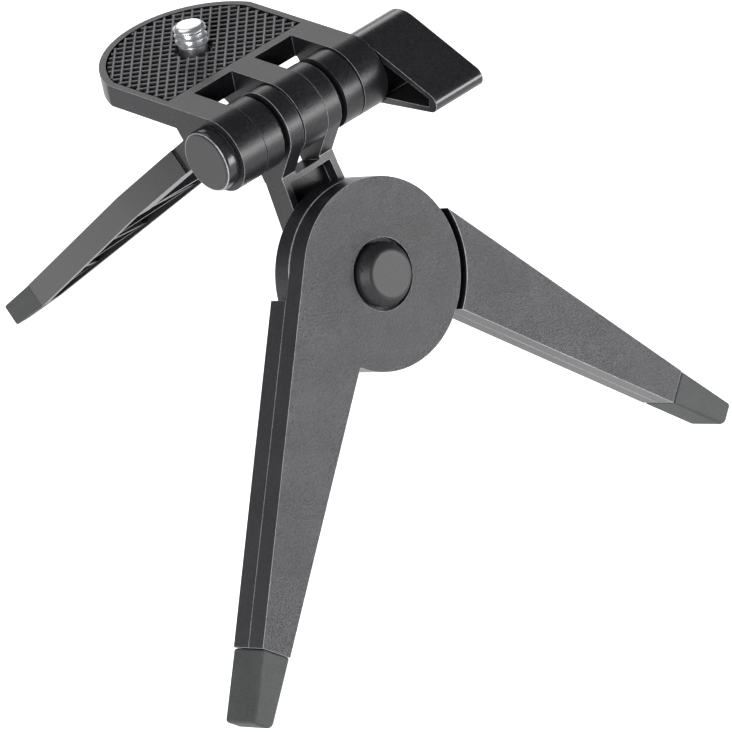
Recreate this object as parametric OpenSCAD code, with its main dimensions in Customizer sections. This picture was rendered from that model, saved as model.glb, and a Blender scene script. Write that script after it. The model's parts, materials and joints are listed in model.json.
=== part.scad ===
// Folding pocket tripod: two flat front legs that close like scissors, a forked rear leg that
// folds up behind them, and a tilting camera platform clamped by a wing knob.

/* [Front legs] */
// Radius of the round hub end of each front leg
disc_r = 18.5; // [15.4:0.1:20.4]
// Thickness of one lapped hub disc
lap_t = 4.5; // [3.8:0.1:5.4]
// Distance from the leg pivot to the tip of a front foot
leg_len = 88.8; // [76:0.1:106.6]
// Angle of each open front leg from the middle line
leg_open = 44; // [36:1:52]
// Width of the leg where the rubber foot begins
leg_end_w = 6.6; // [5.6:0.1:7.9]
// Width of the foot at its tip
foot_tip_w = 4.5; // [3.8:0.1:5.4]
// Length of rubber showing on each foot
foot_len = 13.9; // [11.8:0.1:16.6]
// Radius of the steel pivot that holds both front legs
axle_r = 3; // [2.5:0.1:3.6]

/* [Neck] */
// Height of the tilt bolt above the leg pivot
tilt_h = 34; // [33:0.1:40.8]
// Thickness of the neck plate behind the hub discs
neck_t = 5.8; // [4.9:0.1:6.9]
// Width of the neck at its waist
neck_w = 13; // [12.4:0.1:13.8]
// Radius of the knuckles on the tilt bolt
knuckle_r = 7.3; // [6.6:0.1:8.2]

/* [Head] */
// Width across the camera platform
head_w = 37.4; // [31.2:0.1:44.9]
// Distance from the tilt bolt to the far edge of the platform
head_len = 42.6; // [36:0.1:51.1]
// Slope of the platform against the hub plane
head_tilt = 17; // [0:1:40]
// Thickness of the platform plate
head_t = 4.5; // [3.8:0.1:5]
// Radius of the steel tilt bolt
bolt_r = 2.5; // [2.1:0.1:3]
// Distance from the tilt bolt to the camera screw
stud_u = 24.9; // [22:0.1:28]
// Height of the camera screw's tip above the rubber pad
stud_h = 5.2; // [4.4:0.1:6.2]

/* [Rear leg] */
// Angle between the open rear leg and the folded one
rear_open = 69; // [60:1:74]
// Depth of the rear leg, from its back to its open side
rear_t = 5.2; // [4.5:0.1:6]
// Length by which the rear leg outreaches the folded front legs
rear_extra = 2; // [0:0.1:6]

/* [Wing knob] */
// Reach of the wing from the bolt axis to its tip
wing_reach = 20; // [17:0.1:24]
// Depth of the wing along the bolt
wing_depth = 12.4; // [10.4:0.1:14.8]

/* [Hidden] */
$fn = 64;
slack = 0.05;                               // radial running clearance of every pin
seam = 0.1;                                 // joint line between two mouldings of one leg
free = 0.3;                                 // air between two bodies that slide past each other
stack = 2 * lap_t + free;                   // thickness of the two lapped discs
shell_len = leg_len - foot_len;
lap_r = disc_r + 1.5;                       // where a leg's second shell starts around the disc
leg_wall = 1.5;
core_s = lap_r + 5;                         // start of the hollow inside a leg
foot_nick = 0.8;
tangent_a = atan2(leg_end_w, shell_len)
            + acos(disc_r / norm([shell_len, leg_end_w]));

cap_r = 6.2;
cap_top_r = 4.6;
cap_h = 2.6;
well_r = 7;
well_d = 1.3;
wave_t = 0.5;

neck_y = stack + free;
neck_back = neck_y + neck_t;
neck_hub_r = 7.9;
tilt_y = neck_back + 0.6 - knuckle_r;
slot_z = tilt_h - knuckle_r - 3.9;
web_d = 2.8;                                // depth of the hollow in the neck's front
rim_w = 1.3;
nut_r = 4.6;
nut_d = 2.6;

mid_half = 2.9;
ear_in = mid_half + 0.25;
ear_out = ear_in + 3.5;
washer_t = 1.4;
fork_in = ear_out + washer_t + 0.2;
fork_out = fork_in + 4.25;
arm_in = fork_out + 0.3;
head_half = head_w / 2;
head_top = knuckle_r + 0.3;                 // height of the platform's top over the bolt axis
head_low = head_top - head_t;
arm_r = knuckle_r + 0.15;
rib_drop = 3.5;                             // how far the stiffening rib hangs below the bolt axis
window_end = 11;
pad_start = 13.1;
pad_in = 1.4;
pad_t = 1;
pad_gap = 0.1;                              // how far the rubber sits below the rim around it
end_r = head_half + 0.9;                    // the far end's arc, a little flatter than a half circle
end_u = head_len - end_r;                   // its centre's distance from the bolt
tray_wall = 1.6;
stud_r = 3.175;                             // a quarter of an inch across
stud_hex_r = 5.6;
stud_hex_t = 1.7;
thread_pitch = 1.27;
relief_h = 1.2;                             // plain waist of the screw above the pad
relief_d = 0.4;

bolt_cap_r = 6.2;
bolt_cap_t = 2.8;
bolt_start = head_half + 1.4;
knob_x = head_half + 0.5;
insert_r = 3.9;
bolt_grip = 0.7 * wing_depth + 0.6;         // depth of the bolt hole in the knob
knob_r = knuckle_r - 0.5;
knob_wall = 1.3;
knob_roof = 1.6;
wing_tip_r = 2;
wing_a = 206;                               // direction of the wing, from straight back

rear_a = 90 - rear_open;
rear_len = tilt_h + leg_len + rear_extra;
rear_back = knuckle_r;
rear_low = rear_back - rear_t;
rear_wall = 1.3;
rear_half = fork_out + 0.5;
step_s = 21.5;
fork_s = tilt_h + neck_hub_r + 3;
taper_s = fork_s + 2;
rear_foot_s = rear_len - foot_len;
rear_foot_half = 2.6;
rear_tip_half = 1.9;
rear_tip_t = 4.6;
rib_n = 6;
rib_w = 1;

// Lowest points of the feet, which set how far the open tripod leans back
front_low = max((leg_len - foot_nick) * cos(leg_open),
                leg_len * cos(leg_open) - foot_nick * sin(leg_open));
rear_tip_z = rear_back - rear_tip_t;
rear_y = tilt_y + rear_len * cos(rear_a) + rear_tip_z * sin(rear_a);
rear_z = tilt_h - rear_len * sin(rear_a) + rear_tip_z * cos(rear_a);
lean = atan2(rear_z + front_low, rear_y - stack);
lift = stack * sin(lean) + front_low * cos(lean);
far_y = tilt_y + rear_len * cos(rear_a) + rear_back * sin(rear_a);
far_z = tilt_h - rear_len * sin(rear_a) + rear_back * cos(rear_a);
back_y = far_y * cos(lean) + far_z * sin(lean);
front_y = -front_low * sin(lean);

// Piece to show on its own

// Stands the tripod on its feet: drawn upright on its hub, it leans back onto the rear leg.
module stand() {
    translate([0, -(back_y + front_y) / 2, lift])
        rotate([-lean, 0, 0])
            children();
}

// Turns a shape drawn about the bolt axis into place on the neck.
module at_tilt(a) {
    translate([0, tilt_y, tilt_h])
        rotate([a, 0, 0])
            children();
}

// Slab of an X-Z outline, from y to y + t.
module slab(y, t) {
    translate([0, y + t, 0])
        rotate([90, 0, 0])
            linear_extrude(height = t)
                children();
}

// Bar of a Y-Z outline, from x to x + w.
module bar(x, w) {
    translate([x, 0, 0])
        rotate([90, 0, 90])
            linear_extrude(height = w)
                children();
}

module rod_x(x, w, r) {
    translate([x, 0, 0])
        rotate([0, 90, 0])
            cylinder(h = w, r = r);
}

module rod_y(y, w, r) {
    translate([0, y, 0])
        rotate([-90, 0, 0])
            cylinder(h = w, r = r);
}

// Front leg outline, leg along +X, straight inner edge through the pivot.
module leg_outline() {
    circle(r = disc_r);
    polygon([[0, 0], [shell_len, 0], [shell_len, leg_end_w],
             [disc_r * cos(tangent_a), disc_r * sin(tangent_a)]]);
}

function outer_w(s) =
    leg_end_w + (shell_len - s) * (disc_r * sin(tangent_a) - leg_end_w)
                / (shell_len - disc_r * cos(tangent_a));

module peg_spots() {
    for (s = [core_s + 9, shell_len - 20])
        translate([s, outer_w(s) / 2])
            children();
}

// Hollow left between the two shells of a leg, around its two locating pegs.
module core_outline() {
    end_s = shell_len - 3;
    difference() {
        polygon([[core_s, leg_wall], [end_s, leg_wall], [end_s, outer_w(end_s) - leg_wall],
                 [core_s, outer_w(core_s) - leg_wall]]);
        peg_spots()
            circle(r = 2.2);
    }
}

// Outline of the shell that begins outside the other leg's disc.
module half_outline() {
    difference() {
        leg_outline();
        circle(r = lap_r);
    }
}

module foot_outline() {
    polygon([[shell_len + seam, 0], [leg_len - foot_nick, 0], [leg_len, foot_nick],
             [leg_len, foot_tip_w], [shell_len + seam, leg_end_w]]);
}

module tongue(grow) {
    translate([shell_len - 1, 1.6 - grow])
        square([8 + grow, foot_tip_w - 2.3 + 2 * grow]);
}

module aim_right() {
    rotate([0, 0, leg_open - 90])
        children();
}

module hub_bore(y, t) {
    rod_y(y - 1, t + 2, axle_r + slack);
}

// Shell that carries the hub disc. Its hollow opens on the side given by deep_y.
module disc_shell(y, deep_y) {
    difference() {
        slab(y, lap_t)
            aim_right()
                leg_outline();
        slab(deep_y, lap_t - leg_wall)
            aim_right()
                core_outline();
        hub_bore(y, lap_t);
    }
}

// Shell that starts beyond the disc of the other leg.
module plain_shell(y, deep_y) {
    difference() {
        slab(y, lap_t + free - seam)
            aim_right()
                half_outline();
        slab(deep_y, lap_t + free - seam - leg_wall)
            aim_right()
                core_outline();
    }
}

module front_tongue(y) {
    slab(y, lap_t - 2)
        aim_right()
            tongue(0);
}

module peg_rods(y, t, r) {
    slab(y, t)
        aim_right()
            peg_spots()
                circle(r = r);
}

module foot() {
    difference() {
        slab(0, stack)
            aim_right()
                foot_outline();
        slab(2 - slack, lap_t - 2 + 2 * slack)
            aim_right()
                tongue(slack);
    }
}

module left_front_shell() {
    color("#6b6b6e")
        stand()
            mirror([1, 0, 0]) {
                difference() {
                    disc_shell(0, leg_wall);
                    rod_y(-1, well_d + 1, well_r);
                    peg_rods(leg_wall, lap_t, 1.2 + slack);
                }
                front_tongue(2);
            }
}

module left_rear_shell() {
    color("#5d5d60")
        stand()
            mirror([1, 0, 0]) {
                plain_shell(lap_t + seam, lap_t);
                peg_rods(leg_wall + 1, lap_t, 1.2);
            }
}

module left_foot() {
    color("#3a3c3c")
        stand()
            mirror([1, 0, 0])
                foot();
}

module right_front_shell() {
    color("#6b6b6e")
        stand() {
            difference() {
                plain_shell(0, leg_wall);
                peg_rods(leg_wall, lap_t + free, 1.2 + slack);
            }
            front_tongue(2);
        }
}

module right_rear_shell() {
    color("#5d5d60")
        stand() {
            disc_shell(lap_t + free, lap_t + free - 0.01);
            peg_rods(leg_wall + 1, lap_t + free, 1.2);
        }
}

module right_foot() {
    color("#3a3c3c")
        stand()
            foot();
}

// Neck side view: the arm rises from the plate and swells into the round knuckle.
module ear_side() {
    translate([tilt_y, tilt_h])
        circle(r = knuckle_r);
    polygon([[neck_y, slot_z - 4], [neck_y, slot_z + 0.6],
             [tilt_y - knuckle_r * cos(45), tilt_h - knuckle_r * sin(45)], [tilt_y, tilt_h],
             [tilt_y + knuckle_r, tilt_h], [neck_back, slot_z]]);
}

module neck_front_view() {
    circle(r = neck_hub_r);
    polygon([[-neck_hub_r, 0], [-neck_w / 2, slot_z], [-ear_out, slot_z + 1], [ear_out, slot_z + 1],
             [neck_w / 2, slot_z], [neck_hub_r, 0]]);
}

module neck() {
    hollow_half = neck_w / 2 - rim_w;
    color("#2e2e30")
        stand()
            difference() {
                union() {
                    slab(neck_y, neck_t)
                        neck_front_view();
                    intersection() {
                        bar(-ear_out, 2 * ear_out)
                            ear_side();
                        translate([-ear_out, 0, slot_z - 3])
                            cube([2 * ear_out, 3 * knuckle_r, tilt_h + 2 * knuckle_r]);
                    }
                }
                translate([-ear_in, -1, slot_z])
                    cube([2 * ear_in, 4 * knuckle_r, tilt_h + knuckle_r]);
                slab(neck_y - 1, web_d + 1)
                    polygon([[-hollow_half - 0.6, 9.5], [-hollow_half, slot_z - 1],
                             [hollow_half, slot_z - 1], [hollow_half + 0.6, 9.5]]);
                at_tilt(0)
                    rod_x(-ear_out - 1, 2 * ear_out + 2, bolt_r + slack);
                hub_bore(neck_y, neck_t);
                rod_y(neck_back - nut_d - 0.4, nut_d + 1, nut_r + 0.3);
            }
}

module hub_axle() {
    color("#b9bcc0")
        stand() {
            rod_y(-cap_h + 1.1, neck_back + cap_h - 1.4, axle_r);
            rod_y(-cap_h + 0.8, 0.9, axle_r + 0.9);
        }
}

module hub_cap() {
    color("#202022")
        stand()
            difference() {
                rotate([90, 0, 0])
                    rotate_extrude()
                        polygon([[0, -well_d + wave_t + 0.2], [cap_r, -well_d + wave_t + 0.2],
                                 [cap_r, 0.7], [cap_r - 0.5, 1.3], [cap_top_r + 0.4, cap_h - 0.3],
                                 [cap_top_r, cap_h], [0, cap_h]]);
                rod_y(-cap_h + 1.1 - slack, cap_h + well_d, axle_r + slack);
                rod_y(-cap_h + 0.8 - slack, 0.9 + 2 * slack, axle_r + 0.9 + slack);
            }
}

module hub_spring() {
    color("#8d9196")
        stand()
            difference() {
                rod_y(well_d - wave_t - 0.05, wave_t, cap_r - 0.4);
                rod_y(well_d - wave_t - 1, wave_t + 2, axle_r + slack);
            }
}

module hub_nut() {
    color("#b9bcc0")
        stand()
            difference() {
                slab(neck_back - nut_d - 0.2, nut_d)
                    circle(r = nut_r, $fn = 6);
                rod_y(neck_back - nut_d - 1, nut_d + 2, axle_r + slack);
            }
}

module tilt_bolt() {
    color("#b9bcc0")
        stand()
            at_tilt(0) {
                rod_x(-bolt_start, bolt_start + knob_x + bolt_grip - 0.7, bolt_r);
                rod_x(-head_half - 1.9, 1.4, bolt_r + 1.6);
            }
}

module bolt_cap() {
    color("#202022")
        stand()
            at_tilt(0)
                difference() {
                    translate([-head_half - 0.2, 0, 0])
                        rotate([0, -90, 0])
                            rotate_extrude()
                                polygon([[0, 0], [bolt_cap_r, 0], [bolt_cap_r, bolt_cap_t - 0.9],
                                         [bolt_cap_r - 0.3, bolt_cap_t - 0.3],
                                         [bolt_cap_r - 0.9, bolt_cap_t], [0, bolt_cap_t]]);
                    rod_x(-head_half - 1.9 - slack, 1.4 + 2 * slack, bolt_r + 1.6 + slack);
                    rod_x(-bolt_start, 3, bolt_r + slack);
                }
}

module friction_washers() {
    color("#141414")
        stand()
            at_tilt(0)
                for (x = [-fork_in + 0.1, ear_out + 0.1])
                    difference() {
                        rod_x(x, washer_t, knuckle_r - 1.5);
                        rod_x(x - 1, washer_t + 2, bolt_r + slack);
                    }
}

// Side view of one platform arm: knuckle, flat top and the thick root behind it.
module arm_side() {
    translate([0, head_top - arm_r])
        circle(r = arm_r);
    polygon([[0, head_top], [pad_start, head_top], [pad_start, head_low],
             [window_end - 0.4, head_low], [window_end - 1.6, 1], [arm_r * cos(35), -arm_r * sin(35) + 0.4],
             [0, 0]]);
}

module plate_outline(inset, start) {
    intersection() {
        union() {
            translate([0, end_u])
                circle(r = end_r - inset);
            translate([-head_half - 1, 0])
                square([head_w + 2, end_u]);
        }
        translate([-head_half + inset, start])
            square([head_w - 2 * inset, head_len]);
    }
}

module platform() {
    color("#4a4a4d")
        stand()
            at_tilt(head_tilt)
                difference() {
                    union() {
                        translate([0, 0, head_low])
                            linear_extrude(height = head_t)
                                plate_outline(0, window_end);
                        for (x = [-head_half, arm_in])
                            bar(x, head_half - arm_in)
                                arm_side();
                        bar(-mid_half, 2 * mid_half) {
                            arm_side();
                            polygon([[knuckle_r, head_low + 0.5], [knuckle_r, -rib_drop],
                                     [knuckle_r + 1, -rib_drop], [stud_u - stud_hex_r, head_low],
                                     [stud_u - stud_hex_r, head_low + 0.5]]);
                        }
                    }
                    translate([0, 0, head_top - pad_t])
                        linear_extrude(height = pad_t + 1)
                            plate_outline(pad_in - slack, pad_start);
                    translate([0, 0, head_low - 1])
                        linear_extrude(height = 1 + head_t - pad_t - 2)
                            difference() {
                                plate_outline(tray_wall, pad_start + 1.6);
                                translate([0, stud_u])
                                    circle(r = stud_hex_r + 1.8);
                                translate([-mid_half, 0])
                                    square([2 * mid_half, stud_u]);
                            }
                    translate([0, stud_u, head_low - 1])
                        cylinder(h = head_t + 2, r = stud_r + slack);
                    translate([0, stud_u, head_low - 1])
                        cylinder(h = 1.1 + stud_hex_t, r = stud_hex_r + 0.1, $fn = 6);
                    rod_x(-head_half - 1, head_w + 2, bolt_r + slack);
                }
}

module platform_pad() {
    color("#232325")
        stand()
            at_tilt(head_tilt)
                translate([0, 0, head_top - pad_t])
                    linear_extrude(height = pad_t - pad_gap)
                        difference() {
                            plate_outline(pad_in, pad_start + slack);
                            translate([0, stud_u])
                                circle(r = stud_r + 0.25);
                        }
}

module camera_screw() {
    pad_top = head_top - pad_gap;
    tip = pad_top + stud_h;
    bevel = 0.6;
    color("#c9ccd0")
        stand()
            at_tilt(head_tilt)
                translate([0, stud_u, 0]) {
                    translate([0, 0, head_low])
                        cylinder(h = stud_hex_t, r = stud_hex_r, $fn = 6);
                    translate([0, 0, head_low + 1])
                        cylinder(h = pad_top + relief_h - head_low, r = stud_r - relief_d);
                    difference() {
                        translate([0, 0, pad_top + relief_h])
                            cylinder(h = stud_h - relief_h - bevel, r = stud_r);
                        for (k = [0 : 1])
                            translate([0, 0, pad_top + relief_h + 0.7 + k * thread_pitch])
                                rotate_extrude()
                                    polygon([[stud_r - 0.7, 0], [stud_r + 0.1, -0.5],
                                             [stud_r + 0.1, 0.5]]);
                    }
                    translate([0, 0, tip - bevel])
                        cylinder(h = bevel, r1 = stud_r, r2 = stud_r - 0.9);
                }
}

// Drop-shaped knob on the bolt: a round boss with two flat flanks down to a small round tip,
// hollow between the boss and the tip on the side that faces the platform.
module wing_knob() {
    gap = wing_reach - wing_tip_r;
    a = acos((knob_r - wing_tip_r) / gap);
    hollow_near = insert_r + 1.4;
    near_half = knob_r - knob_wall - (knob_r - wing_tip_r) * hollow_near / gap;
    color("#28282a")
        stand()
            at_tilt(0)
                difference() {
                    rotate([wing_a, 0, 0]) {
                        bar(knob_x, wing_depth) {
                            circle(r = knob_r);
                            polygon([[0, 0], [knob_r * cos(a), knob_r * sin(a)],
                                     [gap + wing_tip_r * cos(a), wing_tip_r * sin(a)],
                                     [gap + wing_tip_r * cos(a), -wing_tip_r * sin(a)],
                                     [knob_r * cos(a), -knob_r * sin(a)]]);
                        }
                        translate([0, gap, 0])
                            rod_x(knob_x, wing_depth, wing_tip_r);
                    }
                    rotate([wing_a, 0, 0])
                        bar(knob_x - 1, wing_depth + 1 - knob_roof)
                            polygon([[hollow_near, near_half], [gap, wing_tip_r - 0.8 * knob_wall],
                                     [gap, 0.8 * knob_wall - wing_tip_r],
                                     [hollow_near, -near_half]]);
                    rod_x(knob_x - 1, bolt_grip + 1, bolt_r + slack);
                    rod_x(knob_x + 1, bolt_grip - 1.6, insert_r + slack);
                }
}

module knob_insert() {
    color("#b8964a")
        stand()
            at_tilt(0)
                difference() {
                    rod_x(knob_x + 1 + slack, bolt_grip - 1.6 - 2 * slack, insert_r);
                    rod_x(knob_x, wing_depth, bolt_r + slack);
                }
}

// Plan of the rear leg from the end of its fork to the foot, inset by its wall.
module rear_plan(inset, start) {
    half = rear_half - inset;
    end_half = rear_foot_half - inset;
    polygon([[-half, start], [-half, taper_s], [-end_half, rear_foot_s - inset],
             [end_half, rear_foot_s - inset], [half, taper_s], [half, start]]);
}

module rear_rib(k) {
    pitch = (rear_foot_s - 8 - taper_s) / rib_n;
    side = k % 2 == 0 ? 1 : -1;
    width = rear_half + (rear_foot_half - rear_half) * (k + 0.5) / rib_n;
    translate([0, taper_s + 2 + (k + 0.5) * pitch])
        rotate(side * atan2(pitch, 2 * width))
            square([2 * rear_half + pitch, rib_w], center = true);
}

module rear_arm_side() {
    circle(r = knuckle_r);
    polygon([[0, rear_back], [taper_s, rear_back], [taper_s, rear_low], [0, rear_low]]);
}

module rear_leg() {
    color("#6f6f72")
        stand()
            at_tilt(-rear_a)
                difference() {
                    union() {
                        for (x = [-fork_out, fork_in])
                            bar(x, fork_out - fork_in)
                                rear_arm_side();
                        for (x = [-rear_half, fork_in])
                            translate([x, step_s, rear_low])
                                cube([rear_half - fork_in, fork_s - step_s, rear_t]);
                        difference() {
                            translate([0, 0, rear_low])
                                linear_extrude(height = rear_t)
                                    rear_plan(0, fork_s - 0.5);
                            translate([0, 0, rear_low - 1])
                                linear_extrude(height = rear_t + 1 - rear_wall)
                                    rear_plan(rear_wall, fork_s + 1);
                        }
                        translate([0, 0, rear_low + 0.6])
                            linear_extrude(height = rear_t - 1)
                                intersection() {
                                    rear_plan(0.5, fork_s + 1);
                                    union() {
                                        for (k = [0 : rib_n - 1])
                                            rear_rib(k);
                                    }
                                }
                        translate([-1.1, rear_foot_s - 1.5, rear_low + 1.5])
                            cube([2.2, 8, rear_t - 3]);
                    }
                    rod_x(-rear_half - 1, 2 * rear_half + 2, bolt_r + slack);
                }
}

module rear_foot() {
    color("#3a3c3c")
        stand()
            at_tilt(-rear_a)
                difference() {
                    bar(-rear_foot_half, 2 * rear_foot_half)
                        polygon([[rear_foot_s + seam, rear_back], [rear_len, rear_back],
                                 [rear_len, rear_tip_z], [rear_foot_s + seam, rear_low]]);
                    for (s = [-1, 1])
                        translate([0, 0, rear_low - 1])
                            linear_extrude(height = rear_t + 2)
                                polygon([[s * rear_foot_half, rear_foot_s],
                                         [s * rear_tip_half, rear_len + 1],
                                         [s * 2 * rear_foot_half, rear_len + 1],
                                         [s * 2 * rear_foot_half, rear_foot_s]]);
                    translate([-1.1 - slack, rear_foot_s, rear_low + 1.5 - slack])
                        cube([2.2 + 2 * slack, 6.5 + slack, rear_t - 3 + 2 * slack]);
                }
}

neck();
hub_axle();
hub_cap();
hub_spring();
hub_nut();
tilt_bolt();
bolt_cap();
friction_washers();
platform();
platform_pad();
camera_screw();
wing_knob();
knob_insert();
left_front_shell();
left_rear_shell();
left_foot();
right_front_shell();
right_rear_shell();
right_foot();
rear_leg();
rear_foot();
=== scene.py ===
import json
import math

import bmesh
import bpy
from mathutils import Matrix, Vector


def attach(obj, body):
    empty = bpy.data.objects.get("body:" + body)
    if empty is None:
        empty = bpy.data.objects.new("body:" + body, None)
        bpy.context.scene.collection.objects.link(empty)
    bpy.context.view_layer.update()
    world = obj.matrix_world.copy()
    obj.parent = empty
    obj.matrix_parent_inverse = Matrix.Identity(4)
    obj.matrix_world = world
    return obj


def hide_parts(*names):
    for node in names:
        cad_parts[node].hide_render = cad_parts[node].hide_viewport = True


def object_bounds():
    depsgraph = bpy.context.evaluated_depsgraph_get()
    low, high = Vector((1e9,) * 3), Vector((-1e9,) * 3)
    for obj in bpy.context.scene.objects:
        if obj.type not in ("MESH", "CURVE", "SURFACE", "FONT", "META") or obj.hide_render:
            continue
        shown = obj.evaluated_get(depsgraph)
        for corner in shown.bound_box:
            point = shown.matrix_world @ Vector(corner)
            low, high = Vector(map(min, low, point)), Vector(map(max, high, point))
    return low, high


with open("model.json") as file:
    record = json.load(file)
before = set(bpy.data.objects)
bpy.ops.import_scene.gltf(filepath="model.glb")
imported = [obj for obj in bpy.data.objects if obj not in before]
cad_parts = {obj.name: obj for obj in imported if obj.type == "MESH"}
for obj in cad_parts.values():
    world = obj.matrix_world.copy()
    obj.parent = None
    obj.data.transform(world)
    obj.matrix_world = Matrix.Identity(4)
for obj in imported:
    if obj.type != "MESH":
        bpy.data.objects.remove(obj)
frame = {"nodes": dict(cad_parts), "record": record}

MM = 0.001
CAD_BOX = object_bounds()
RECORD = frame["record"]
JOINTS = {joint["name"]: joint for joint in RECORD["behaviour"]["joints"]}
MOUNTS = {mount["name"]: mount for mount in RECORD["mounts"]}
BODY_OF = {node: body for body, nodes in RECORD["behaviour"]["bodies"].items() for node in nodes}


# ---- Places on the tripod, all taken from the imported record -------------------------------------

BOLT_AXIS = Vector((1, 0, 0))
HUB_BACK = Vector(JOINTS["right_leg_fold"]["axis"])
PAD_UP = Vector(MOUNTS["platform_face"]["axis"])
PAD_FACE = Vector(MOUNTS["platform_face"]["pos_m"])


def head_axes():
    """Frame on the tilt bolt: X along the bolt, Y towards the pad's far end, Z up off the pad."""
    far = PAD_UP.cross(BOLT_AXIS).normalized()
    matrix = Matrix((BOLT_AXIS, far, BOLT_AXIS.cross(far))).transposed().to_4x4()
    matrix.translation = Vector(JOINTS["platform_tilt"]["pos_m"])
    return matrix


HEAD = head_axes()
INTO_HEAD = HEAD.inverted()
PAD_TOP = (INTO_HEAD @ PAD_FACE).z
SCREW_AT = INTO_HEAD @ Vector(MOUNTS["camera_screw"]["pos_m"])
SCREW_R = MOUNTS["camera_screw"]["dims"]["r_mm"] * MM
SCREW_THREAD = MOUNTS["camera_screw"]["dims"]["length_mm"] * MM


# ---- Materials ----------------------------------------------------------------------------------

def linear(hex_colour):
    """An sRGB hex value as a linear RGBA colour."""
    values = [int(hex_colour[i:i + 2], 16) / 255 for i in (1, 3, 5)]
    return [v / 12.92 if v <= 0.04045 else ((v + 0.055) / 1.055) ** 2.4 for v in values] + [1.0]


def add_node(tree, kind, settings=None, links=None, **inputs):
    """Adds a node: settings are its own properties, inputs its sockets' values, links its wires."""
    node = tree.nodes.new(kind)
    for name, value in (settings or {}).items():
        setattr(node, name, value)
    for name, value in inputs.items():
        node.inputs[name.replace("_", " ")].default_value = value
    for socket, source in (links or {}).items():
        tree.links.new(source, node.inputs[socket])
    return node


def blank_material(name):
    """An empty material, with its tree and the coordinates of the piece that it is on."""
    material = bpy.data.materials.new(name)
    material.use_nodes = True
    tree = material.node_tree
    tree.nodes.clear()
    place = add_node(tree, "ShaderNodeTexCoord").outputs["Object"]
    return material, tree, place


def finish_material(tree, links, **inputs):
    """Ends a material in its shader and its output."""
    shader = add_node(tree, "ShaderNodeBsdfPrincipled", links=links, **inputs)
    add_node(tree, "ShaderNodeOutputMaterial", links={"Surface": shader.outputs["BSDF"]})


def toned(ramp, places, colours):
    """Sets a colour ramp's two stops and gives back its colour."""
    for stop, place, colour in zip(ramp.color_ramp.elements, places, colours):
        stop.position = place
        stop.color = linear(colour)
    return ramp.outputs["Color"]


# How much of the slow drift is mixed into the grain, and where the mix is darkest and lightest.
CLOUD_SHARE = 0.35
GRAIN_TONES = (0.55, 0.80)
# Where the turning marks of a metal are darkest and lightest.
MARK_TONES = (0.3, 0.7)
# Where the pad's rubber is darkest and lightest: its painted shade, dark in the pits and lighter on
# the rib tops, times its grain.
PIT_SHADE_TONES = (0.0, 0.6)


def moulded_plastic(name, colours, grain_mm, grain_depth_mm, rough, gloss=0.5, cloud_mm=9.0):
    """Injection-moulded black plastic: a fine mould grain under slow drifts of tone and gloss."""
    material, tree, place = blank_material(name)
    grain = add_node(tree, "ShaderNodeTexNoise", links={"Vector": place},
                     Scale=1 / (grain_mm * MM), Detail=3.0, Roughness=0.6).outputs["Fac"]
    cloud = add_node(tree, "ShaderNodeTexNoise", links={"Vector": place},
                     Scale=1 / (cloud_mm * MM), Detail=2.0, Roughness=0.5).outputs["Fac"]
    mix = add_node(tree, "ShaderNodeMath", {"operation": "MULTIPLY_ADD"}, {0: cloud, 2: grain})
    mix.inputs[1].default_value = CLOUD_SHARE
    ramp = add_node(tree, "ShaderNodeValToRGB", links={"Fac": mix.outputs["Value"]})
    roughness = add_node(tree, "ShaderNodeMapRange", links={"Value": mix.outputs["Value"]},
                         To_Min=rough[0], To_Max=rough[1])
    bump = add_node(tree, "ShaderNodeBump", links={"Height": grain},
                    Strength=0.8, Distance=grain_depth_mm * MM)
    finish_material(tree, {"Base Color": toned(ramp, GRAIN_TONES, colours),
                           "Roughness": roughness.outputs["Result"],
                           "Normal": bump.outputs["Normal"]},
                    IOR=1.53, Specular_IOR_Level=gloss)
    return material


def bright_metal(name, colours, mark_mm, mark_depth_mm, rough):
    """Plated or bare metal: faint turning marks break up a clean reflection."""
    material, tree, place = blank_material(name)
    marks = add_node(tree, "ShaderNodeTexNoise", links={"Vector": place},
                     Scale=1 / (mark_mm * MM), Detail=4.0, Roughness=0.65).outputs["Fac"]
    ramp = add_node(tree, "ShaderNodeValToRGB", links={"Fac": marks})
    roughness = add_node(tree, "ShaderNodeMapRange", links={"Value": marks},
                         To_Min=rough[0], To_Max=rough[1])
    bump = add_node(tree, "ShaderNodeBump", links={"Height": marks},
                    Strength=0.5, Distance=mark_depth_mm * MM)
    finish_material(tree, {"Base Color": toned(ramp, MARK_TONES, colours),
                           "Roughness": roughness.outputs["Result"],
                           "Normal": bump.outputs["Normal"]},
                    Metallic=1.0)
    return material


def ribbed_rubber(name, colours, grain_mm, grain_depth_mm, rough, top_fade_mm):
    """The pad's rubber: lighter on top of its ribs, and from a little way down darkened by painted
    shade in the pits.
    """
    material, tree, place = blank_material(name)
    height = add_node(tree, "ShaderNodeVectorMath", {"operation": "DOT_PRODUCT"}, {0: place})
    height.inputs[1].default_value = PAD_UP
    rib_top = PAD_UP.dot(PAD_FACE)
    # Painted shade: the colour darkens from the rib tops down into the pits.
    rib_top_mask = add_node(tree, "ShaderNodeMapRange", links={"Value": height.outputs["Value"]},
                    From_Min=rib_top - top_fade_mm * MM, From_Max=rib_top).outputs["Result"]
    grain = add_node(tree, "ShaderNodeTexNoise", links={"Vector": place},
                     Scale=1 / (grain_mm * MM), Detail=3.0, Roughness=0.6).outputs["Fac"]
    shade = add_node(tree, "ShaderNodeMath", {"operation": "MULTIPLY"}, {0: rib_top_mask, 1: grain})
    ramp = add_node(tree, "ShaderNodeValToRGB", links={"Fac": shade.outputs["Value"]})
    roughness = add_node(tree, "ShaderNodeMapRange", links={"Value": rib_top_mask},
                         To_Min=rough[0], To_Max=rough[1])
    bump = add_node(tree, "ShaderNodeBump", links={"Height": grain},
                    Strength=0.6, Distance=grain_depth_mm * MM)
    finish_material(tree, {"Base Color": toned(ramp, PIT_SHADE_TONES, colours),
                           "Roughness": roughness.outputs["Result"],
                           "Normal": bump.outputs["Normal"]},
                    IOR=1.52)
    return material


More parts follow.
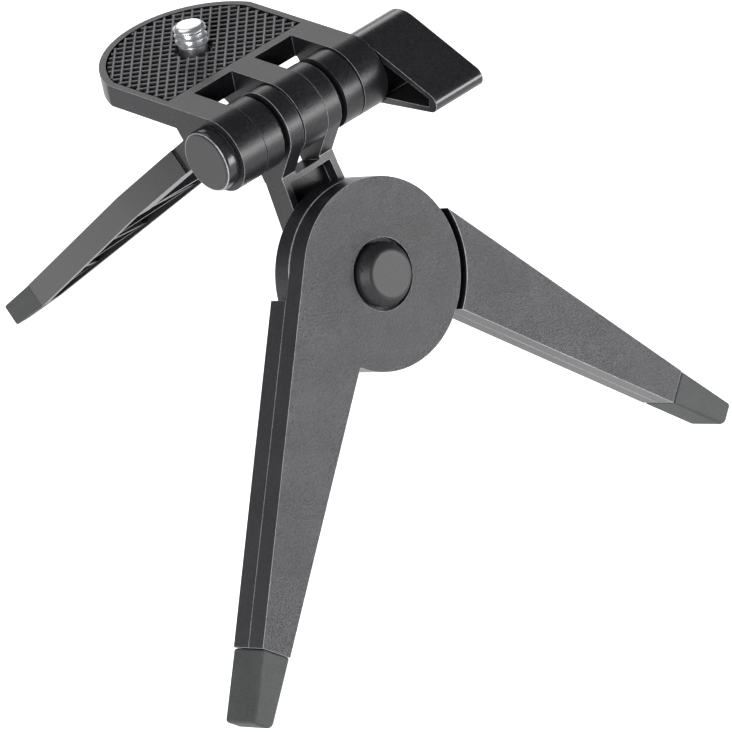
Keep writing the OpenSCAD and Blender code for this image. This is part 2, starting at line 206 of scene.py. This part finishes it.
# Each finish gives its darkest and lightest colour, the width and depth of its grain or marks in
# mm, and its roughness where it is dark and where it is light.

# ABS moulded in a spark-eroded tool: a dull sparkle of fine pimples on the broad faces.
# Real grain is about 0.15 mm across; it is drawn at 0.36 mm, and deeper, so that it shows.
GRAINED_ABS = moulded_plastic("spark_eroded_black_abs", ("#0d0d0f", "#333337"), 0.36, 0.360,
                              (0.30, 0.46))
# The same ABS from a smoother part of the tool: satin, with soft streaks of reflected light.
SATIN_ABS = moulded_plastic("satin_black_abs", ("#121214", "#202023"), 0.45, 0.040,
                            (0.28, 0.38), gloss=0.24)
# Polished tool steel leaves the wing knob and the bolt's cap nearly glossy.
GLOSS_ABS = moulded_plastic("polished_black_abs", ("#1b1b1d", "#232325"), 0.70, 0.004,
                            (0.18, 0.26), gloss=0.34)
# The hub's button is etched a little duller than the walls round it, so that it stays dark.
ETCHED_ABS = moulded_plastic("etched_black_abs", ("#111113", "#1f1f21"), 0.50, 0.040,
                             (0.44, 0.54), gloss=0.32)
# The rounded edges: thin lines a shade lighter than the faces beside them, a painted highlight for
# the light that the roundings catch.
EDGE_HIGHLIGHT_ABS = moulded_plastic("painted_highlight_black_abs_edge", ("#707074", "#929296"), 0.50, 0.010,
                             (0.22, 0.32), gloss=0.60)
# Soft thermoplastic rubber on the feet: matt, slightly dusty.
FOOT_RUBBER = moulded_plastic("moulded_black_tpe_rubber", ("#232525", "#343636"), 0.30, 0.030,
                              (0.60, 0.78), cloud_mm=4.0)
# Washers cut from black nylon sheet: flat and waxy.
BLACK_NYLON = moulded_plastic("black_nylon_washer", ("#0e0e0f", "#19191a"), 0.30, 0.008,
                              (0.45, 0.60), cloud_mm=3.0)
# Nitrile rubber of the pad: dull in its pits and grey on top of its ribs; the black in the pits is
# painted shade.
PAD_RUBBER = ribbed_rubber("moulded_nitrile_rubber", ("#060607", "#636366"), 0.50, 0.030,
                           (0.90, 0.38), top_fade_mm=0.10)
# Bright chrome plate over a rolled steel thread: hard streaks with a faint grain in them.
CHROME = bright_metal("bright_chromed_steel", ("#cfd1d4", "#f2f3f4"), 0.70, 0.020, (0.24, 0.38))
# Zinc-plated steel: greyer and softer than chrome.
ZINC = bright_metal("zinc_plated_steel", ("#8f9296", "#b4b7ba"), 0.50, 0.010, (0.28, 0.42))
# Turned brass insert: warm, with fine tool marks.
BRASS = bright_metal("turned_brass", ("#a58a4c", "#c8ab66"), 0.40, 0.010, (0.25, 0.40))


# ---- Making pieces ------------------------------------------------------------------------------

def new_piece(name, mesh, node, material):
    """Links a mesh as the piece that stands for a CAD node and rides on that node's body."""
    piece = bpy.data.objects.new(name, mesh)
    bpy.context.scene.collection.objects.link(piece)
    if not mesh.materials:
        mesh.materials.append(material)
    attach(piece, BODY_OF[node])
    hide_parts(node)
    return piece


def baked(temporary):
    """The evaluated mesh of an object with modifiers; the object itself is thrown away."""
    graph = bpy.context.evaluated_depsgraph_get()
    mesh = bpy.data.meshes.new_from_object(temporary.evaluated_get(graph))
    bpy.data.objects.remove(temporary)
    return mesh


# ---- Mouldings: the CAD's own shapes, with the rounded edges that a mould gives ------------------

# Corners of a CAD mesh closer than this are one, and faces that turn by less than this are flat.
MERGE_MM = 0.002
FLAT_DEGREES = 0.4
# An edge that turns by more than this is rounded, in this many steps.
EDGE_DEGREES = 28
EDGE_STEPS = 3
# How far the broad faces win over the roundings in the smooth shading, out of 100.
FLAT_WEIGHT = 90
# Material slots of a rounded piece.
FACES, EDGES, WALLS = 0, 1, 2
# A face that looks along the hub's axis by less than this, 1 being straight along it, is a wall.
WALL_FACING = 0.8

MOULDINGS = [
    # node, radius of its edges in mm, material of its faces, material of its edges
    ("neck", 0.35, SATIN_ABS, EDGE_HIGHLIGHT_ABS),
    ("platform", 0.60, SATIN_ABS, EDGE_HIGHLIGHT_ABS),
    ("wing_knob", 0.60, GLOSS_ABS, EDGE_HIGHLIGHT_ABS),
    ("left_front_shell", 0.45, GRAINED_ABS, EDGE_HIGHLIGHT_ABS),
    ("left_rear_shell", 0.35, GRAINED_ABS, EDGE_HIGHLIGHT_ABS),
    ("left_foot", 0.60, FOOT_RUBBER, FOOT_RUBBER),
    ("right_front_shell", 0.45, GRAINED_ABS, EDGE_HIGHLIGHT_ABS),
    ("right_rear_shell", 0.35, GRAINED_ABS, EDGE_HIGHLIGHT_ABS),
    ("right_foot", 0.60, FOOT_RUBBER, FOOT_RUBBER),
    ("rear_leg", 0.40, SATIN_ABS, EDGE_HIGHLIGHT_ABS),
    ("rear_foot", 0.40, FOOT_RUBBER, FOOT_RUBBER),
    ("bolt_cap", 0.90, GLOSS_ABS, EDGE_HIGHLIGHT_ABS),
    ("hub_cap", 0.70, ETCHED_ABS, ETCHED_ABS),
]


def cad_copy(node):
    """A copy of a CAD node's mesh with its doubles merged and its flat faces made whole."""
    mesh = frame["nodes"][node].data.copy()
    mesh.materials.clear()
    shape = bmesh.new()
    shape.from_mesh(mesh)
    bmesh.ops.remove_doubles(shape, verts=shape.verts, dist=MERGE_MM * MM)
    bmesh.ops.dissolve_limit(shape, angle_limit=math.radians(FLAT_DEGREES), verts=shape.verts,
                             edges=shape.edges)
    shape.to_mesh(mesh)
    shape.free()
    return mesh


def rounded(mesh, radius_mm, face_material, edge_material):
    """Rounds a closed mesh's sharp edges, as a mould's edges are, and smooths its shading."""
    mesh.materials.append(face_material)
    mesh.materials.append(edge_material)
    temporary = bpy.data.objects.new("rounding", mesh)
    bpy.context.scene.collection.objects.link(temporary)
    mesh.shade_smooth()
    bevel = temporary.modifiers.new("edges", "BEVEL")
    bevel.width = radius_mm * MM
    bevel.segments = EDGE_STEPS
    bevel.limit_method = "ANGLE"
    bevel.angle_limit = math.radians(EDGE_DEGREES)
    bevel.miter_outer = "MITER_ARC"
    # The roundings get the lighter edge material: a painted highlight along every rounded edge.
    bevel.material = EDGES
    weighted = temporary.modifiers.new("flats", "WEIGHTED_NORMAL")
    weighted.keep_sharp = True
    weighted.weight = FLAT_WEIGHT
    return baked(temporary)


def smooth_walls(piece, facing, material):
    """Gives another material to the faces that don't look along a direction, either way."""
    piece.data.materials.append(material)
    for face in piece.data.polygons:
        if face.material_index == FACES and abs(face.normal.dot(facing)) < WALL_FACING:
            face.material_index = WALLS


for node, radius, face_material, edge_material in MOULDINGS:
    moulding = rounded(cad_copy(node), radius, face_material, edge_material)
    piece = new_piece("rounded_" + node, moulding, node, face_material)
    # Only the broad faces of the front legs are grained; their walls come out of the tool smooth.
    if face_material is GRAINED_ABS:
        smooth_walls(piece, HUB_BACK, SATIN_ABS)


# ---- Pieces that follow a rule: the pad's lattice and the camera screw's thread ------------------

# Corners of a grown piece closer than this are one.
SEAM_MM = 0.0005


def growing_tree(name, sizes):
    """A geometry tree with named sizes: the tree, its inputs and its sizes' identifiers."""
    tree = bpy.data.node_groups.new(name, "GeometryNodeTree")
    tree.interface.new_socket("Geometry", in_out="INPUT", socket_type="NodeSocketGeometry")
    tree.interface.new_socket("Geometry", in_out="OUTPUT", socket_type="NodeSocketGeometry")
    identifiers = {size: tree.interface.new_socket(
        size, in_out="INPUT", socket_type="NodeSocketFloat").identifier for size in sizes}
    return tree, add_node(tree, "NodeGroupInput").outputs, identifiers


def end_tree(tree, grown, material):
    """Ends a geometry tree: what has grown is made whole and gets its material."""
    whole = add_node(tree, "GeometryNodeRealizeInstances", links={"Geometry": grown})
    coated = add_node(tree, "GeometryNodeSetMaterial",
                      links={"Geometry": whole.outputs["Geometry"]}, Material=material)
    add_node(tree, "NodeGroupOutput", links={"Geometry": coated.outputs["Geometry"]})


def grown_mesh(mesh, tree, identifiers, sizes_mm):
    """Runs a tree on a mesh with its sizes in mm and bakes what comes out."""
    temporary = bpy.data.objects.new("growing", mesh)
    bpy.context.scene.collection.objects.link(temporary)
    modifier = temporary.modifiers.new("grow", "NODES")
    modifier.node_group = tree
    for size, value in sizes_mm.items():
        modifier[identifiers[size]] = value * MM
    return baked(temporary)


def joined(meshes, place):
    """One mesh of several closed shells, put in its place, with its doubles merged."""
    shape = bmesh.new()
    for mesh in meshes:
        shape.from_mesh(mesh)
    bmesh.ops.remove_doubles(shape, verts=shape.verts, dist=SEAM_MM * MM)
    bmesh.ops.transform(shape, matrix=place, verts=shape.verts)
    whole = bpy.data.meshes.new("joined")
    shape.to_mesh(whole)
    shape.free()
    return whole


# The pad's outline, in the head's frame and in metres. Points this close to its side are on it.
SIDE_MM = 0.02
PAD_POINTS = [INTO_HEAD @ vertex.co for vertex in frame["nodes"]["platform_pad"].data.vertices]
PAD_HALF = max(point.x for point in PAD_POINTS)
PAD_NEAR = min(point.y for point in PAD_POINTS)
PAD_FAR = max(point.y for point in PAD_POINTS)
PAD_LOW = min(point.z for point in PAD_POINTS)
PAD_CORNER = max(point.y for point in PAD_POINTS if point.x > PAD_HALF - SIDE_MM * MM)
# The far end is one arc through its two corners and its middle.
PAD_ARC_RISE = PAD_FAR - PAD_CORNER
PAD_ARC_R = (PAD_HALF ** 2 + PAD_ARC_RISE ** 2) / (2 * PAD_ARC_RISE)
PAD_ARC_Y = PAD_FAR - PAD_ARC_R
PAD_ARC_STEPS = 56

# The ribs, in mm: they cross on both diagonals and leave square pits between them.
RIB_PITCH = 1.81
RIB_TOP = 0.50
RIB_FOOT = 0.64
RIB_TALL = 0.66
RIB_SHORTEST = 0.5
# The ribs stop this far inside the pad's edge and this far outside the screw.
RIB_INSET = 0.32
RIB_CLEAR = 0.55
# Enough ribs each way from the screw to cross the whole pad.
RIBS_EACH_WAY = 24
# Each family's diagonal, and how far it is sunk: the second lies a hair lower, so that no two
# faces share a plane.
RIB_FAMILIES = ((1, 0.0), (-1, 0.012))
# The round hole for the screw in the sheet under the ribs.
HOLE_CLEAR = 0.3
HOLE_SIDES = 48


def pad_outline(inset):
    """The pad's D outline in the head's plane, drawn in by inset, anticlockwise."""
    half = PAD_HALF - inset
    radius = PAD_ARC_R - inset
    corner = math.acos(half / radius)
    sweep = math.pi - 2 * corner
    angles = [corner + sweep * k / PAD_ARC_STEPS for k in range(PAD_ARC_STEPS + 1)]
    arc = [(radius * math.cos(a), PAD_ARC_Y + radius * math.sin(a)) for a in angles]
    return [(-half, PAD_NEAR + inset), (half, PAD_NEAR + inset)] + arc


def cut_line(start, direction, outline, hole_r):
    """The stretches of a line that lie inside a convex outline and outside the screw's hole.

    Each stretch is a pair of distances from start, in metres."""
    low, high = -1.0, 1.0
    for (ax, ay), (bx, by) in zip(outline, outline[1:] + outline[:1]):
        nx, ny = by - ay, ax - bx
        along = direction[0] * nx + direction[1] * ny
        gap = (ax - start[0]) * nx + (ay - start[1]) * ny
        if math.isclose(along, 0, abs_tol=1e-12):
            if gap < 0:
                return []
        elif along > 0:
            high = min(high, gap / along)
        else:
            low = max(low, gap / along)
    if high - low < RIB_SHORTEST * MM:
        return []
    to_screw = (SCREW_AT.x - start[0], SCREW_AT.y - start[1])
    middle = to_screw[0] * direction[0] + to_screw[1] * direction[1]
    miss = abs(to_screw[0] * direction[1] - to_screw[1] * direction[0])
    if miss >= hole_r:
        return [(low, high)]
    reach = math.sqrt(hole_r ** 2 - miss ** 2)
    return [(low, middle - reach), (middle + reach, high)]


def rib_lines(side, height):
    """Centre lines of the ribs that run along one diagonal, as a mesh of loose edges."""
    direction = (math.sqrt(0.5), side * math.sqrt(0.5))
    across = (-direction[1], direction[0])
    outline = pad_outline(RIB_INSET * MM)
    points, edges = [], []
    for k in range(-RIBS_EACH_WAY, RIBS_EACH_WAY + 1):
        start = (SCREW_AT.x + across[0] * (k + 0.5) * RIB_PITCH * MM,
                 SCREW_AT.y + across[1] * (k + 0.5) * RIB_PITCH * MM)
        for low, high in cut_line(start, direction, outline, SCREW_R + RIB_CLEAR * MM):
            edges.append((len(points), len(points) + 1))
            points += [(start[0] + direction[0] * t, start[1] + direction[1] * t, height)
                       for t in (low, high)]
    mesh = bpy.data.meshes.new("rib_lines")
    mesh.from_pydata(points, edges, [])
    return mesh


def pad_plate(top):
    """The pad's sheet under the ribs, with the hole for the screw."""
    outline = pad_outline(0)
    hole_r = SCREW_R + HOLE_CLEAR * MM
    turns = [math.tau * k / HOLE_SIDES for k in range(HOLE_SIDES)]
    hole = [(SCREW_AT.x + hole_r * math.cos(a), SCREW_AT.y + hole_r * math.sin(a)) for a in turns]
    shape = bmesh.new()
    layers = []
    for z in (PAD_LOW, top):
        rings = [[shape.verts.new((x, y, z)) for x, y in loop] for loop in (outline, hole)]
        edges = [shape.edges.new((a, b)) for ring in rings
                 for a, b in zip(ring, ring[1:] + ring[:1])]
        bmesh.ops.triangle_fill(shape, use_beauty=True, use_dissolve=False, edges=edges)
        layers.append(rings)
    for low, high in zip(*layers):
        for k in range(len(low)):
            n = (k + 1) % len(low)
            shape.faces.new((low[k], low[n], high[n], high[k]))
    bmesh.ops.recalc_face_normals(shape, faces=shape.faces)
    mesh = bpy.data.meshes.new("pad_plate")
    shape.to_mesh(mesh)
    shape.free()
    return mesh


def rib_tree():
    """Sweeps a rib that is wider at its foot along every line of a mesh."""
    tree, sizes, identifiers = growing_tree("pad_ribs", ("Top width", "Foot width", "Height"))
    lines = add_node(tree, "GeometryNodeMeshToCurve", links={"Mesh": sizes["Geometry"]})
    upright = add_node(tree, "GeometryNodeSetCurveNormal", {"mode": "Z_UP"},
                       {"Curve": lines.outputs["Curve"]})
    # The sweep turns the profile upside down, so its bottom becomes the rib's top.
    profile = add_node(tree, "GeometryNodeCurvePrimitiveQuadrilateral", {"mode": "TRAPEZOID"},
                       {"Bottom Width": sizes["Top width"], "Top Width": sizes["Foot width"],
                        "Height": sizes["Height"]}, Offset=0.0)
    sweep = add_node(tree, "GeometryNodeCurveToMesh",
                     links={"Curve": upright.outputs["Curve"],
                            "Profile Curve": profile.outputs["Curve"]}, Fill_Caps=True)
    end_tree(tree, sweep.outputs["Mesh"], PAD_RUBBER)
    return tree, identifiers


def latticed_pad():
    """The rubber pad: a sheet with two families of ribs that cross on it."""
    tree, identifiers = rib_tree()
    parts = [pad_plate(PAD_TOP - RIB_TALL * MM)]
    for side, sunk in RIB_FAMILIES:
        lines = rib_lines(side, PAD_TOP - (RIB_TALL / 2 + sunk) * MM)
        parts.append(grown_mesh(lines, tree, identifiers, {
            "Top width": RIB_TOP, "Foot width": RIB_FOOT, "Height": RIB_TALL}))
    return joined(parts, HEAD)


# The camera screw, in mm, with heights in the head's frame. It has twenty threads to the inch.
THREAD_PITCH = 1.27
THREAD_DEPTH = 0.62
THREAD_LOW = (SCREW_AT.z - SCREW_THREAD / 2) / MM
THREAD_TOP = (SCREW_AT.z + SCREW_THREAD / 2) / MM
CREST = SCREW_R / MM
CORE = CREST - THREAD_DEPTH
# The shank is a little thicker than the core and narrows to it just below the thread.
SHANK_R = CORE + 0.2
SHANK_TAPER = 0.1
# Steps in from the crest and up from the thread's top, from the core's end over the domed tip.
CORE_END = -0.35
TIP = ((0.25, -0.20), (0.12, -0.05), (0.20, 0.10), (0.55, 0.40), (0.85, 0.52), (1.30, 0.57))
TIP_RISE = 0.58
# The hex head in its pocket under the platform, its corners bevelled above and below.
HEX_R = 5.55
HEX_FLAT_R = 5.2
HEX_BEVEL = 0.3
HEX_TALL = 1.7
# The shank starts inside the head.
SHANK_START = 1.0
# Sides of the screw's rounds, of its head and of its thread's section, and steps in each turn.
ROUND_SIDES = 64
HEX_SIDES = 6
THREAD_SIDES = 4
TURN_STEPS = 48
# Edges that turn by more than this are sharp.
ROUND_SHARP = 35
HEX_SHARP = 20


def turned(profile, sides, sharp_degrees):
    """A body turned about Z from (radius, height) in mm, closed at the axis at both ends."""
    shape = bmesh.new()
    rings = []
    for radius, height in profile:
        if radius == 0:
            rings.append([shape.verts.new((0, 0, height * MM))] * sides)
        else:
            rings.append([shape.verts.new((radius * MM * math.cos(math.tau * k / sides),
                                           radius * MM * math.sin(math.tau * k / sides),
                                           height * MM)) for k in range(sides)])
    for low, high in zip(rings, rings[1:]):
        for k in range(sides):
            corners = [low[k], low[(k + 1) % sides], high[(k + 1) % sides], high[k]]
            shape.faces.new(list(dict.fromkeys(corners)))
    mesh = bpy.data.meshes.new("turned")
    shape.to_mesh(mesh)
    shape.free()
    mesh.shade_smooth()
    mesh.set_sharp_from_angle(angle=math.radians(sharp_degrees))
    return mesh


def thread_tree():
    """Winds a square section, set on its corner, up a helix."""
    tree, sizes, identifiers = growing_tree(
        "screw_thread", ("Crest radius", "Depth", "Length", "Pitch"))
    radius = add_node(tree, "ShaderNodeMath", {"operation": "SUBTRACT"},
                      {0: sizes["Crest radius"], 1: sizes["Depth"]}).outputs["Value"]
    turns = add_node(tree, "ShaderNodeMath", {"operation": "DIVIDE"},
                     {0: sizes["Length"], 1: sizes["Pitch"]}).outputs["Value"]
    helix = add_node(tree, "GeometryNodeCurveSpiral",
                     links={"Rotations": turns, "Start Radius": radius, "End Radius": radius,
                            "Height": sizes["Length"]}, Resolution=TURN_STEPS)
    upright = add_node(tree, "GeometryNodeSetCurveNormal", {"mode": "Z_UP"},
                       {"Curve": helix.outputs["Curve"]})
    profile = add_node(tree, "GeometryNodeCurvePrimitiveCircle",
                       links={"Radius": sizes["Depth"]}, Resolution=THREAD_SIDES)
    sweep = add_node(tree, "GeometryNodeCurveToMesh",
                     links={"Curve": upright.outputs["Curve"],
                            "Profile Curve": profile.outputs["Curve"]}, Fill_Caps=True)
    end_tree(tree, sweep.outputs["Mesh"], CHROME)
    return tree, identifiers


def screw_thread():
    """The helical thread, from the shank to the tip."""
    tree, identifiers = thread_tree()
    mesh = grown_mesh(bpy.data.meshes.new("thread_start"), tree, identifiers, {
        "Crest radius": CREST, "Depth": THREAD_DEPTH, "Length": SCREW_THREAD / MM,
        "Pitch": THREAD_PITCH})
    mesh.shade_flat()
    mesh.transform(Matrix.Translation((0, 0, SCREW_AT.z - SCREW_THREAD / 2)))
    return mesh


def threaded_screw():
    """The camera screw: hex head, shank, core with its domed tip, and the thread round it."""
    cad_points = frame["nodes"]["camera_screw"].data.vertices
    pocket = min((INTO_HEAD @ vertex.co).z for vertex in cad_points) / MM
    tip = [(CREST - inward, THREAD_TOP + up) for inward, up in TIP]
    core = turned([(0, pocket + SHANK_START), (SHANK_R, pocket + SHANK_START),
                   (SHANK_R, THREAD_LOW - SHANK_TAPER), (CORE, THREAD_LOW),
                   (CORE, THREAD_TOP + CORE_END), *tip, (0, THREAD_TOP + TIP_RISE)],
                  ROUND_SIDES, ROUND_SHARP)
    head = turned([(0, pocket), (HEX_FLAT_R, pocket), (HEX_R, pocket + HEX_BEVEL),
                   (HEX_R, pocket + HEX_TALL - HEX_BEVEL), (HEX_FLAT_R, pocket + HEX_TALL),
                   (0, pocket + HEX_TALL)], HEX_SIDES, HEX_SHARP)
    return joined([core, head, screw_thread()],
                  HEAD @ Matrix.Translation((SCREW_AT.x, SCREW_AT.y, 0)))


new_piece("latticed_pad", latticed_pad(), "platform_pad", PAD_RUBBER)
new_piece("threaded_camera_screw", threaded_screw(), "camera_screw", CHROME)


# ---- Small fasteners, with the CAD's own shapes -------------------------------------------------

FASTENERS = [
    ("hub_axle", ZINC),
    ("hub_spring", ZINC),
    ("hub_nut", ZINC),
    ("tilt_bolt", ZINC),
    ("friction_washers", BLACK_NYLON),
    ("knob_insert", BRASS),
]

for node, material in FASTENERS:
    mesh = frame["nodes"][node].data
    if not mesh.materials:
        mesh.materials.append(material)
    for index in range(len(mesh.materials)):
        mesh.materials[index] = material


# ---- Stage: floor, light and camera -------------------------------------------------------------

# In metres: half the floor's side, and the gap that keeps it just under the feet.
FLOOR_HALF = 4.0
FLOOR_GAP = 0.0002
# The floor's own light near the tripod and out in the room, and where it starts and stops fading.
FLOOR_LIGHT = (0.75, 0.35)
FLOOR_FADE = (0.30, 1.10)

SOFTBOXES = [
    # name, direction from the tripod's middle, distance and size in m, power in W
    ("left_window", (-0.83, -0.32, 0.43), 0.9, (0.36, 0.36), 7.5),
    ("front_window", (0.54, -0.835, 0.05), 0.9, (0.70, 0.36), 13.0),
    ("back_window", (0.54, 0.78, 0.30), 1.2, (0.55, 0.40), 2.2),
    ("rear_fill", (-0.10, 0.58, 0.80), 1.5, (1.0, 0.8), 5.0),
]

# A long lens, about 1.25 m away to the front left and above.
CAMERA_SENSOR_MM = 36.0
CAMERA_LENS_MM = 319.67
CAMERA_CLIP = (0.05, 20.0)
CAMERA_PLACE = Matrix((
    (0.709928, 0.452758, -0.539456, -0.669274),
    (-0.700473, 0.374451, -0.607556, -0.790047),
    (-0.073076, 0.809195, 0.582978, 0.759810),
    (0.0, 0.0, 0.0, 1.0)))


def stage_floor():
    """A wide pale sheet, lit evenly round the tripod, with its light falling off into the room."""
    mesh = bpy.data.meshes.new("studio_floor")
    low = CAD_BOX[0].z - FLOOR_GAP
    corners = [(-1, -1), (1, -1), (1, 1), (-1, 1)]
    mesh.from_pydata([(x * FLOOR_HALF, y * FLOOR_HALF, low) for x, y in corners], [],
                     [(0, 1, 2, 3)])
    floor = bpy.data.objects.new("studio_floor", mesh)
    bpy.context.scene.collection.objects.link(floor)
    material, tree, place = blank_material("pale_studio_floor")
    far = add_node(tree, "ShaderNodeVectorMath", {"operation": "LENGTH"}, {0: place})
    glow = add_node(tree, "ShaderNodeMapRange", {"interpolation_type": "SMOOTHSTEP"},
                    {"Value": far.outputs["Value"]},
                    From_Min=FLOOR_FADE[0], From_Max=FLOOR_FADE[1],
                    To_Min=FLOOR_LIGHT[0], To_Max=FLOOR_LIGHT[1])
    finish_material(tree, {"Emission Strength": glow.outputs["Result"]},
                    Base_Color=linear("#f2f2f2"), Roughness=0.9,
                    Emission_Color=linear("#ffffff"))
    mesh.materials.append(material)


def softbox(name, toward, distance, size, power):
    """White area light in the direction toward, turned to the tripod's middle."""
    centre = (CAD_BOX[0] + CAD_BOX[1]) / 2
    data = bpy.data.lights.new(name, "AREA")
    data.shape = "RECTANGLE"
    data.size, data.size_y = size
    data.energy = power
    light = bpy.data.objects.new(name, data)
    bpy.context.scene.collection.objects.link(light)
    direction = Vector(toward).normalized()
    light.location = centre + direction * distance
    light.rotation_euler = (-direction).to_track_quat("-Z", "Y").to_euler()


def grey_room():
    """Even grey light from all round."""
    world = bpy.data.worlds.new("studio")
    bpy.context.scene.world = world
    world.use_nodes = True
    background = world.node_tree.nodes["Background"]
    background.inputs["Color"].default_value = linear("#6e6e70")
    background.inputs["Strength"].default_value = 1.0


def stage_camera():
    """The camera in its place."""
    data = bpy.data.cameras.new("camera")
    data.sensor_width = CAMERA_SENSOR_MM
    data.lens = CAMERA_LENS_MM
    data.clip_start, data.clip_end = CAMERA_CLIP
    camera = bpy.data.objects.new("camera", data)
    bpy.context.scene.collection.objects.link(camera)
    camera.matrix_world = CAMERA_PLACE
    bpy.context.scene.camera = camera


stage_floor()
for box in SOFTBOXES:
    softbox(*box)
grey_room()
stage_camera()
bpy.context.scene.view_settings.view_transform = "Standard"
